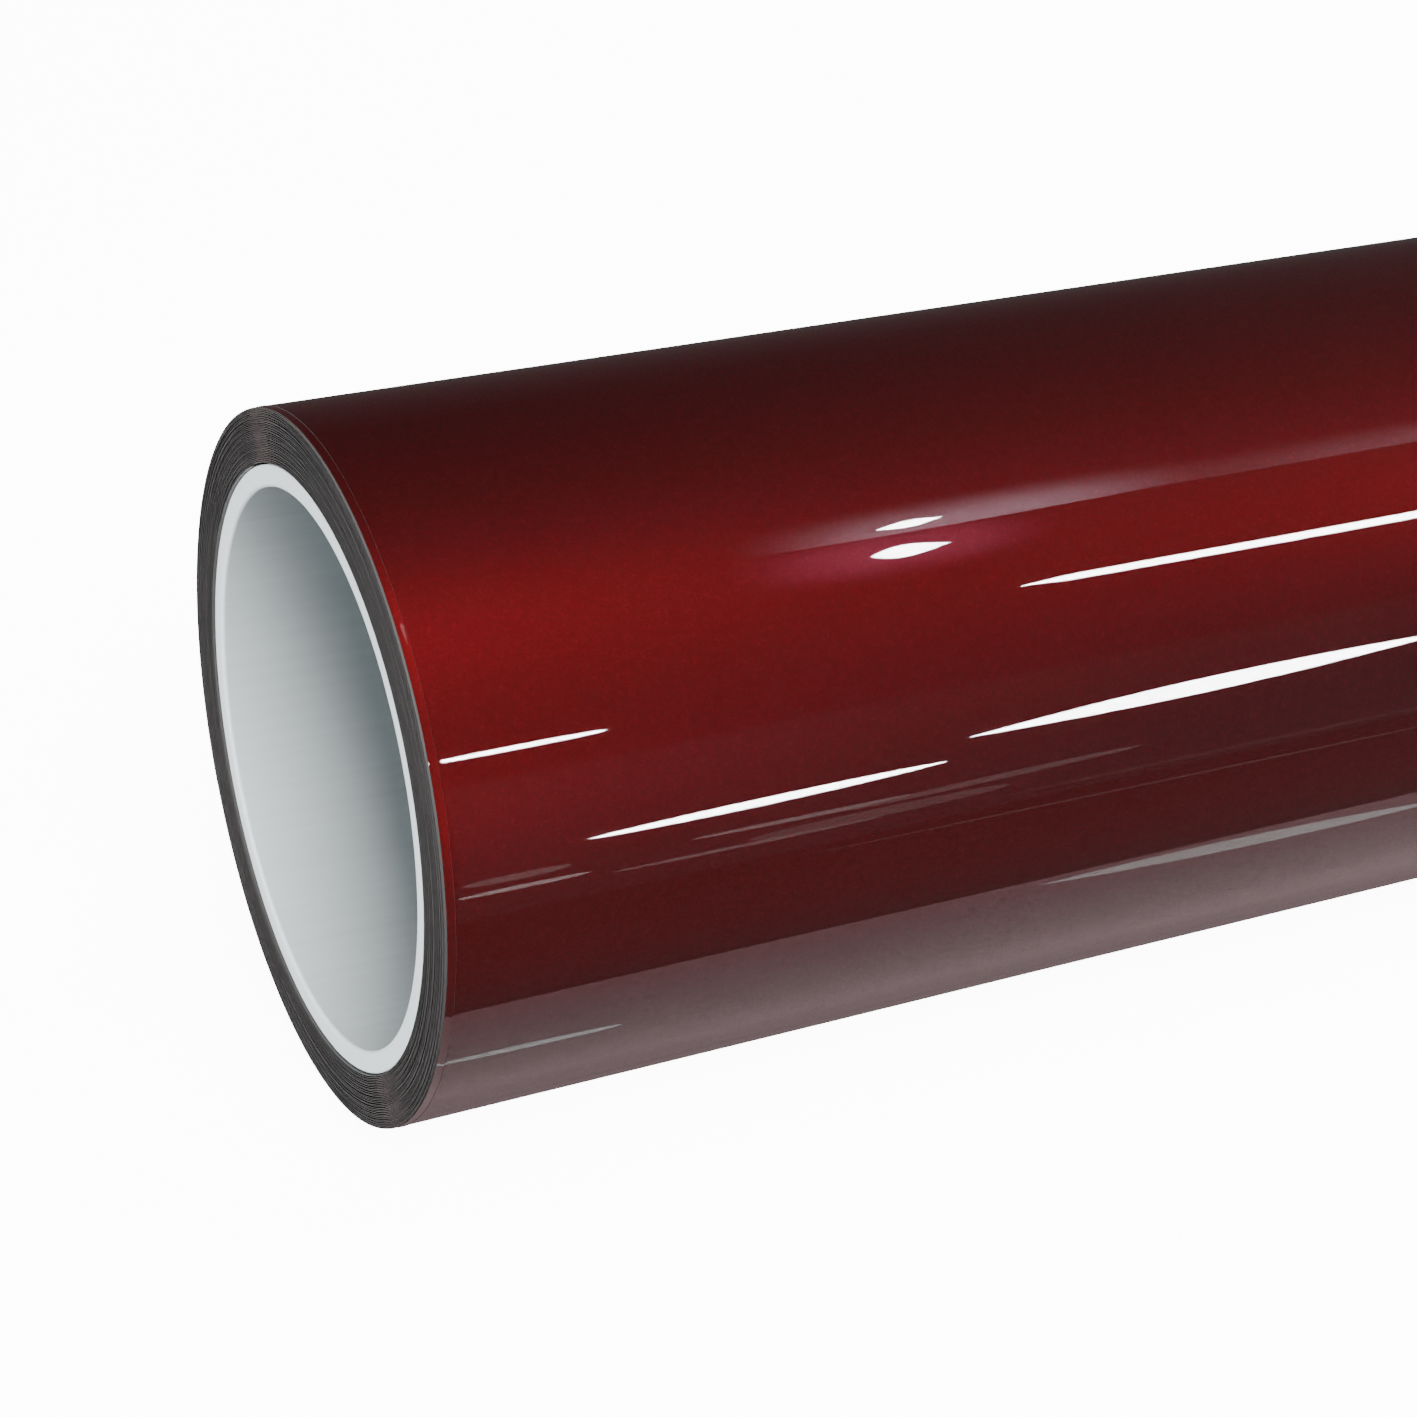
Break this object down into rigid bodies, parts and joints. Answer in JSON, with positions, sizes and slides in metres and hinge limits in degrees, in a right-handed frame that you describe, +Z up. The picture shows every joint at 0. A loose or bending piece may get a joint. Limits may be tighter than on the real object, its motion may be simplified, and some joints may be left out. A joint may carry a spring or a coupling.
{
  "type": "roll of sign vinyl",
  "caption": "Roll of metallic red sign vinyl wound on a hollow plastic core, with a clear cap sheet and a loose tail closed by tape tabs.",
  "frame": {"origin": "centre of the core's bore, half way along the roll", "axes": "+X along the roll, +Z up; the free edge of the web is at the back (+Y)"},
  "size_m": [0.61, 0.0976, 0.0974],
  "materials": {
    "core_plastic": "satin cool-white moulded plastic",
    "start_tape": "matt double-sided tape",
    "liner": "smooth silicone-coated release liner, grey at its cut edge",
    "film": "metallic candy red cast vinyl",
    "cap_sheet": "clear glossy protective sheet",
    "tab_tape": "translucent adhesive tape"
  },
  "bodies": {
    "roll": {"core_tube": "core_plastic", "start_tape": "start_tape", "liner_inner_turns": "liner", "film_inner_turns": "film", "cap_inner_turns": "cap_sheet", "liner_outer_turn": "liner", "film_outer_turn": "film", "cap_outer_turn": "cap_sheet"},
    "tail_near": {"liner_tail_1": "liner", "film_tail_1": "film", "cap_tail_1": "cap_sheet"},
    "tail_middle": {"liner_tail_2": "liner", "film_tail_2": "film", "cap_tail_2": "cap_sheet"},
    "tail_end": {"liner_tail_3": "liner", "film_tail_3": "film", "cap_tail_3": "cap_sheet"},
    "film_flap": {"film_tail_4": "film", "cap_tail_4": "cap_sheet"},
    "cap_flap": {"cap_tail_5": "cap_sheet", "tab_left_hold": "tab_tape", "tab_right_hold": "tab_tape"},
    "left_leaf": {"tab_left_leaf": "tab_tape"},
    "right_leaf": {"tab_right_leaf": "tab_tape"}
  },
  "joints": [
    {"name": "tail_unroll", "type": "hinge", "parent": "roll", "child": "tail_near", "pos_m": [0, 0.0248, 0.04205], "axis": [1, 0, 0], "range_deg": [0, 24], "stiffness_Nm_per_rad": 0.05},
    {"name": "tail_unroll_middle", "type": "hinge", "parent": "tail_near", "child": "tail_middle", "pos_m": [0, 0.03597, 0.03302], "axis": [1, 0, 0], "range_deg": [0, 24]},
    {"name": "tail_unroll_end", "type": "hinge", "parent": "tail_middle", "child": "tail_end", "pos_m": [0, 0.04403, 0.02114], "axis": [1, 0, 0], "range_deg": [0, 24]},
    {"name": "film_peel", "type": "hinge", "parent": "tail_end", "child": "film_flap", "pos_m": [0, 0.04828, 0.00743], "axis": [1, 0, 0], "range_deg": [0, 50]},
    {"name": "cap_peel", "type": "hinge", "parent": "film_flap", "child": "cap_flap", "pos_m": [0, 0.04837, -0.00692], "axis": [1, 0, 0], "range_deg": [0, 50]},
    {"name": "left_tab_peel", "type": "hinge", "parent": "cap_flap", "child": "left_leaf", "pos_m": [0, 0.04433, -0.0207], "axis": [1, 0, 0], "range_deg": [0, 140]},
    {"name": "right_tab_peel", "type": "hinge", "parent": "cap_flap", "child": "right_leaf", "pos_m": [0, 0.04433, -0.0207], "axis": [1, 0, 0], "range_deg": [0, 140]}
  ],
  "couplings": [
    {"joint": "tail_unroll_middle", "follows": "tail_unroll", "ratio": 1},
    {"joint": "tail_unroll_end", "follows": "tail_unroll", "ratio": 1}
  ]
}
